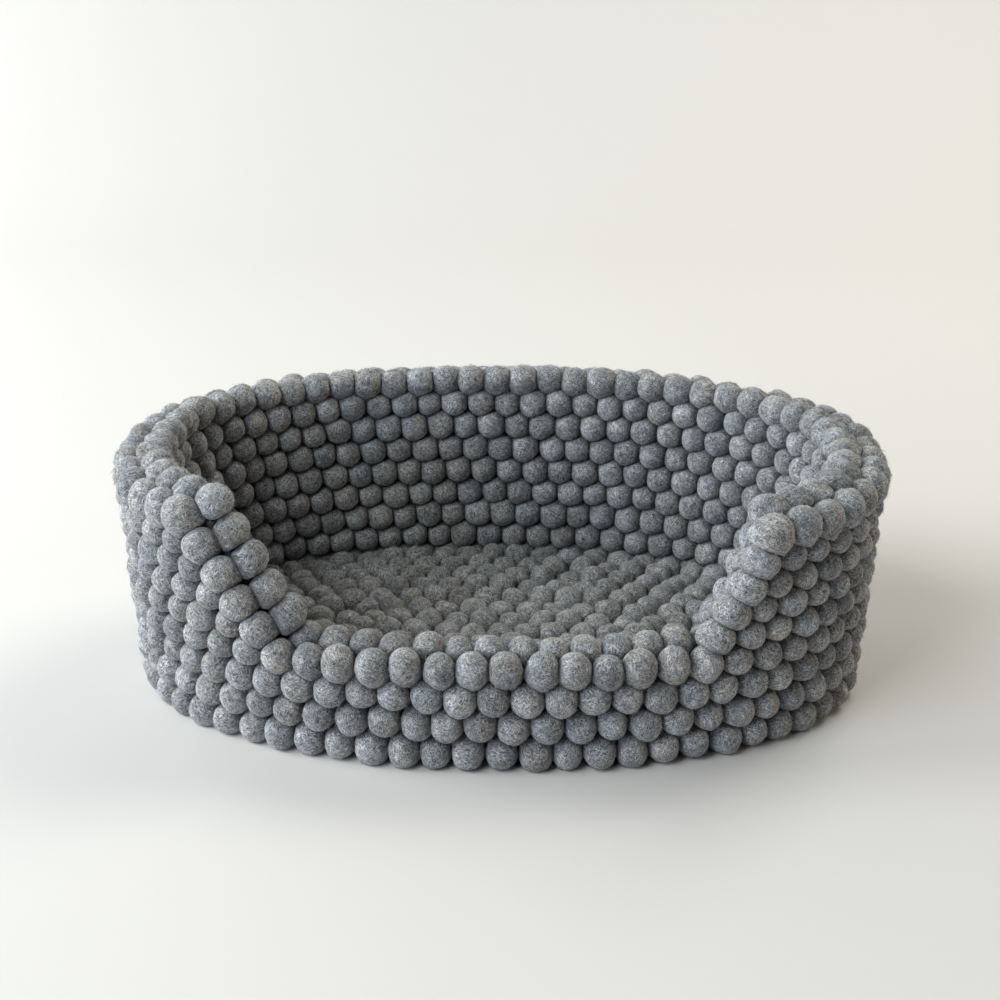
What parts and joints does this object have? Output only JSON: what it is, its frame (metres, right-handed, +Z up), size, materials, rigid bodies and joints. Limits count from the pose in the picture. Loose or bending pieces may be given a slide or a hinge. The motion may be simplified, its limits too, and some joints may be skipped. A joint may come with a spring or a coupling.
{
  "type": "felt ball pet basket",
  "caption": "Oval pet basket of grey felt balls sewn to each other, with a wall two balls thick, a ball mat floor and a dip in the front to step in.",
  "frame": {"origin": "on the ground, under the middle of the basket", "axes": "+X along the basket's length to the right of someone facing the dip, +Y from the dip to the back, +Z up"},
  "size_m": [0.601, 0.3978, 0.1955],
  "materials": {
    "grey_felt": "matte heathered wool felt"
  },
  "bodies": {
    "root": {"outer_wall": "grey_felt", "inner_wall": "grey_felt", "floor_mat": "grey_felt"}
  },
  "joints": []
}
